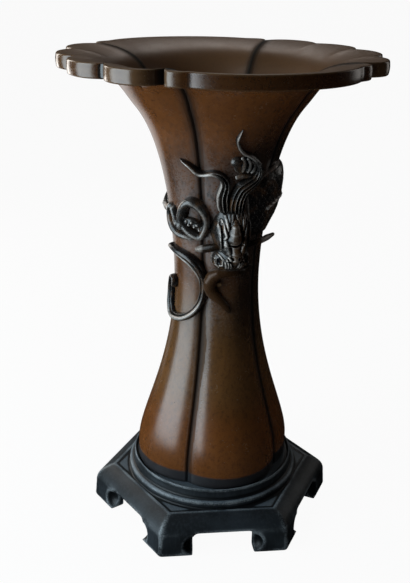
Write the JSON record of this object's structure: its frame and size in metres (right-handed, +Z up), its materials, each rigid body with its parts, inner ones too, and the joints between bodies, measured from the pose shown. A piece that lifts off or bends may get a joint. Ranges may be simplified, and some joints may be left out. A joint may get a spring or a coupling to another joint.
{
  "type": "bronze vase on a stand",
  "caption": "Tall waisted bronze flower vase with a lobed body, a flared scalloped lip and an applied dragon, standing loose in a hexagonal footed bronze stand.",
  "frame": {"origin": "on the floor, under the middle of the stand", "axes": "+Z up along the vase's axis, -Y out of a flat side of the hexagonal stand, +X through one of its corners"},
  "size_m": [0.1638, 0.1624, 0.26],
  "materials": {
    "vase_bronze": "warm chestnut patina, satin",
    "ornament_bronze": "dark brown patina worn lighter on the ridges",
    "stand_bronze": "blue-black patina, satin, grey on the worn edges",
    "rivet_bronze": "bare hammered bronze, dulled"
  },
  "bodies": {
    "stand": {"stand": "stand_bronze"},
    "vase": {"vase_body": "vase_bronze", "bottom_plate": "vase_bronze", "dragon_head": "ornament_bronze", "dragon_lower_jaw": "ornament_bronze", "whisker_left": "ornament_bronze", "whisker_right": "ornament_bronze", "mane_broad_lock": "ornament_bronze", "mane_left_lock": "ornament_bronze", "dragon_claw": "ornament_bronze", "dragon_back": "ornament_bronze", "tail_ring": "ornament_bronze", "tail_tie": "ornament_bronze", "tail_scroll": "ornament_bronze", "rivet_head_upper": "rivet_bronze", "rivet_head_lower": "rivet_bronze", "rivet_mane": "rivet_bronze", "rivet_jaw": "rivet_bronze", "rivet_back_right": "rivet_bronze", "rivet_back_rear": "rivet_bronze", "rivet_back_left": "rivet_bronze"}
  },
  "joints": [
    {"name": "vase_lift", "type": "slide", "parent": "stand", "child": "vase", "axis": [0, 0, 1], "range_m": [0, 0.06]}
  ]
}
